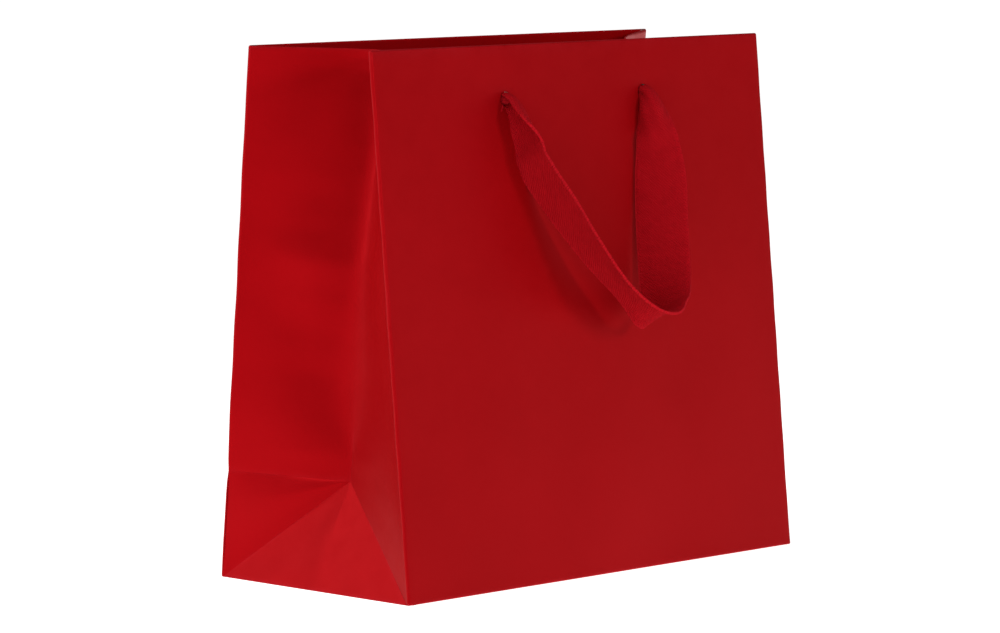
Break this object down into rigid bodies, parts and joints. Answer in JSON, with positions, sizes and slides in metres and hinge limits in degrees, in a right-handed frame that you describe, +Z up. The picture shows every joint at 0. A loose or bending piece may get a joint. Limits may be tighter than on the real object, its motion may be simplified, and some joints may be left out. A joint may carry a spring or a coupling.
{
  "type": "gift bag",
  "caption": "Upright folded-paper gift bag with V-folded side gussets, a fold-up flat base and two woven tape handles hanging through punched holes.",
  "frame": {"origin": "middle of the bounding box at the face the bag stands on", "axes": "+X across the front panel, -Y out of the front panel, +Z up"},
  "size_m": [0.2, 0.1572, 0.1891],
  "materials": {
    "red_paper": "satin laminate",
    "grey_card": "matte",
    "woven_tape": "matte woven"
  },
  "bodies": {
    "front_panel": {"front_panel": "red_paper", "front_top_board": "grey_card", "front_hem": "red_paper", "front_knot_left": "woven_tape", "front_knot_right": "woven_tape"},
    "base": {"base_rear_flap": "red_paper", "base_front_flap": "red_paper", "base_left_flap": "red_paper", "base_right_flap": "red_paper", "base_board": "grey_card"},
    "back_strip": {"back_lower_panel": "red_paper"},
    "back_panel": {"back_panel": "red_paper", "back_top_board": "grey_card", "back_hem": "red_paper", "back_knot_left": "woven_tape", "back_knot_right": "woven_tape", "seam_flap": "red_paper"},
    "left_gusset_front": {"left_gusset_front": "red_paper", "left_hem_front": "red_paper"},
    "left_gusset_rear": {"left_gusset_rear": "red_paper", "left_hem_rear": "red_paper"},
    "left_foot": {"left_foot_facet": "red_paper"},
    "left_low_facet": {"left_low_facet": "red_paper"},
    "right_gusset_front": {"right_gusset_front": "red_paper", "right_hem_front": "red_paper"},
    "right_gusset_rear": {"right_gusset_rear": "red_paper", "right_hem_rear": "red_paper"},
    "right_foot": {"right_foot_facet": "red_paper"},
    "right_low_facet": {"right_low_facet": "red_paper"},
    "front_handle": {"front_handle": "woven_tape"},
    "rear_handle": {"rear_handle": "woven_tape"}
  },
  "joints": [
    {"name": "base_fold", "type": "hinge", "parent": "front_panel", "child": "base", "pos_m": [0, -0.04703, 0.0018], "axis": [1, 0, 0], "range_deg": [0, 78.55], "deforming": ["left_gusset_front", "left_gusset_rear", "left_foot_facet", "left_low_facet", "left_hem_front", "left_hem_rear", "right_gusset_front", "right_gusset_rear", "right_foot_facet", "right_low_facet", "right_hem_front", "right_hem_rear"]},
    {"name": "strip_fold", "type": "hinge", "parent": "base", "child": "back_strip", "pos_m": [0, 0.04703, 0.0018], "axis": [1, 0, 0], "range_deg": [0, 80.56]},
    {"name": "back_fold", "type": "hinge", "parent": "back_strip", "child": "back_panel", "pos_m": [0, 0.04384, 0.03833], "axis": [-1, 0, 0], "range_deg": [0, 172.81]},
    {"name": "left_gusset_front_fold", "type": "hinge", "parent": "front_panel", "child": "left_gusset_front", "pos_m": [-0.0999, -0.03775, 0.09952], "axis": [0, -0.095, -0.9955], "range_deg": [0, 48.01]},
    {"name": "left_gusset_rear_fold", "type": "hinge", "parent": "back_panel", "child": "left_gusset_rear", "pos_m": [-0.0999, 0.03775, 0.09952], "axis": [0, -0.095, 0.9955], "range_deg": [0, 48.01]},
    {"name": "left_foot_fold", "type": "hinge", "parent": "base", "child": "left_foot", "pos_m": [-0.0999, 0, 0.0018], "axis": [0, 1, 0], "range_deg": [0, 59.01]},
    {"name": "left_low_fold", "type": "hinge", "parent": "back_strip", "child": "left_low_facet", "pos_m": [-0.0999, 0.0453, 0.0205], "axis": [0, -0.095, 0.9955], "range_deg": [0, 63.01]},
    {"name": "right_gusset_front_fold", "type": "hinge", "parent": "front_panel", "child": "right_gusset_front", "pos_m": [0.0999, -0.03775, 0.09952], "axis": [0, 0.095, 0.9955], "range_deg": [0, 48.01]},
    {"name": "right_gusset_rear_fold", "type": "hinge", "parent": "back_panel", "child": "right_gusset_rear", "pos_m": [0.0999, 0.03775, 0.09952], "axis": [0, 0.095, -0.9955], "range_deg": [0, 48.01]},
    {"name": "right_foot_fold", "type": "hinge", "parent": "base", "child": "right_foot", "pos_m": [0.0999, 0, 0.0018], "axis": [0, -1, 0], "range_deg": [0, 59.01]},
    {"name": "right_low_fold", "type": "hinge", "parent": "back_strip", "child": "right_low_facet", "pos_m": [0.0999, 0.0453, 0.0205], "axis": [0, 0.095, -0.9955], "range_deg": [0, 63.01]},
    {"name": "front_handle_swing", "type": "hinge", "parent": "front_panel", "child": "front_handle", "pos_m": [0, -0.03447, 0.17023], "axis": [-1, 0, 0], "range_deg": [0, 150]},
    {"name": "rear_handle_swing", "type": "hinge", "parent": "back_panel", "child": "rear_handle", "pos_m": [0, 0.03447, 0.17023], "axis": [1, 0, 0], "range_deg": [0, 150]}
  ],
  "couplings": [
    {"joint": "strip_fold", "follows": "base_fold", "ratio": 1.0255},
    {"joint": "back_fold", "follows": "base_fold", "ratio": 2.1999},
    {"joint": "left_gusset_front_fold", "follows": "base_fold", "ratio": 0.61108},
    {"joint": "left_gusset_rear_fold", "follows": "base_fold", "ratio": 0.61108},
    {"joint": "left_foot_fold", "follows": "base_fold", "ratio": 0.75111},
    {"joint": "left_low_fold", "follows": "base_fold", "ratio": 0.80204},
    {"joint": "right_gusset_front_fold", "follows": "base_fold", "ratio": 0.61108},
    {"joint": "right_gusset_rear_fold", "follows": "base_fold", "ratio": 0.61108},
    {"joint": "right_foot_fold", "follows": "base_fold", "ratio": 0.75111},
    {"joint": "right_low_fold", "follows": "base_fold", "ratio": 0.80204}
  ]
}
